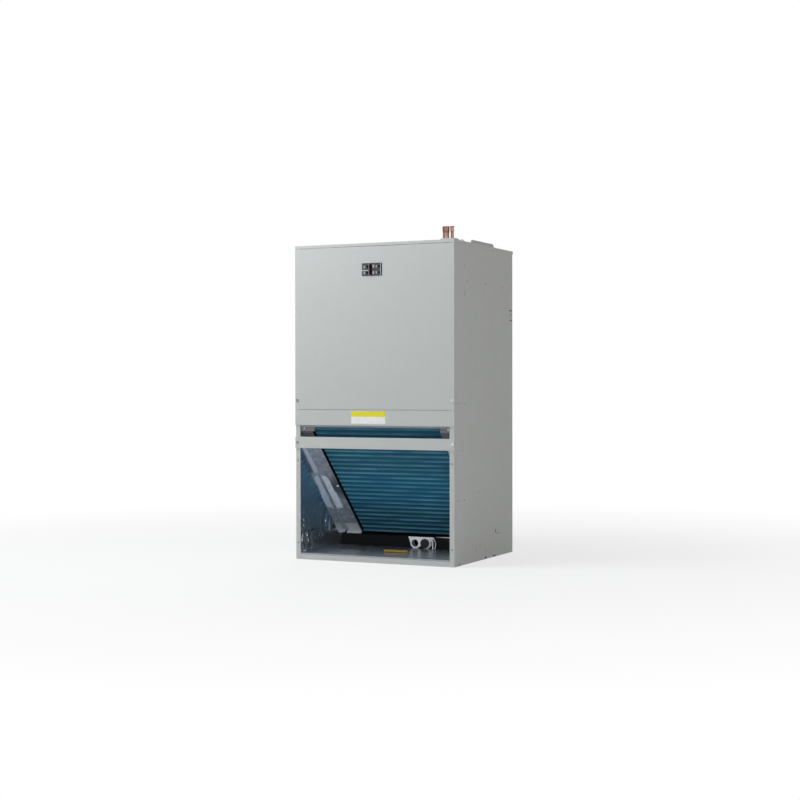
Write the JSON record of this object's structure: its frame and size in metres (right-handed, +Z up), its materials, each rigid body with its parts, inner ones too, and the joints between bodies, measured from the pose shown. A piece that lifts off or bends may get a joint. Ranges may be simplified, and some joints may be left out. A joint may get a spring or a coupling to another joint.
{
  "type": "air handling unit",
  "caption": "Upright wall-closet air handler: grey sheet-steel cabinet with an open return below showing a slanted blue finned coil, and a blower outlet collar on top.",
  "frame": {"origin": "centre of the cabinet footprint, on the floor", "axes": "+Z up, -Y out of the front doors, +X to the right seen from the front"},
  "size_m": [0.535, 0.478, 1.005],
  "materials": {
    "cabinet_paint": "satin light grey enamel",
    "galvanised": "spangled zinc",
    "breaker_plastic": "matt black",
    "copper": "dull drawn copper",
    "foil": "bright crumpled foil",
    "fin_coating": "blue coated aluminium fins",
    "pan_plastic": "black moulded",
    "fitting_plastic": "light grey moulded",
    "motor_paint": "satin black"
  },
  "bodies": {
    "root": {"base_panel": "cabinet_paint", "left_side_panel": "cabinet_paint", "right_side_panel": "cabinet_paint", "back_panel": "cabinet_paint", "top_panel": "cabinet_paint", "blower_door": "cabinet_paint", "filter_door": "cabinet_paint", "front_rail": "cabinet_paint", "line_plate": "cabinet_paint", "coil_front_baffle": "galvanised", "control_plate": "galvanised", "outlet_plate": "galvanised", "scroll_wrap": "galvanised", "left_scroll_side": "galvanised", "right_scroll_side": "galvanised", "blower_wheel": "galvanised", "motor_arms": "galvanised", "left_tube_sheet": "galvanised", "right_tube_sheet": "galvanised", "left_block_off": "galvanised", "right_block_off": "galvanised", "hanger_tab": "galvanised", "circuit_breaker": "breaker_plastic", "breaker_handle": "breaker_plastic", "suction_stub": "copper", "liquid_stub": "copper", "suction_line": "copper", "liquid_line": "copper", "base_lining": "foil", "left_lining": "foil", "right_lining": "foil", "back_lining": "foil", "coil_fins": "fin_coating", "drain_pan": "pan_plastic", "drain_fitting": "fitting_plastic", "blower_motor": "motor_paint"}
  },
  "joints": []
}
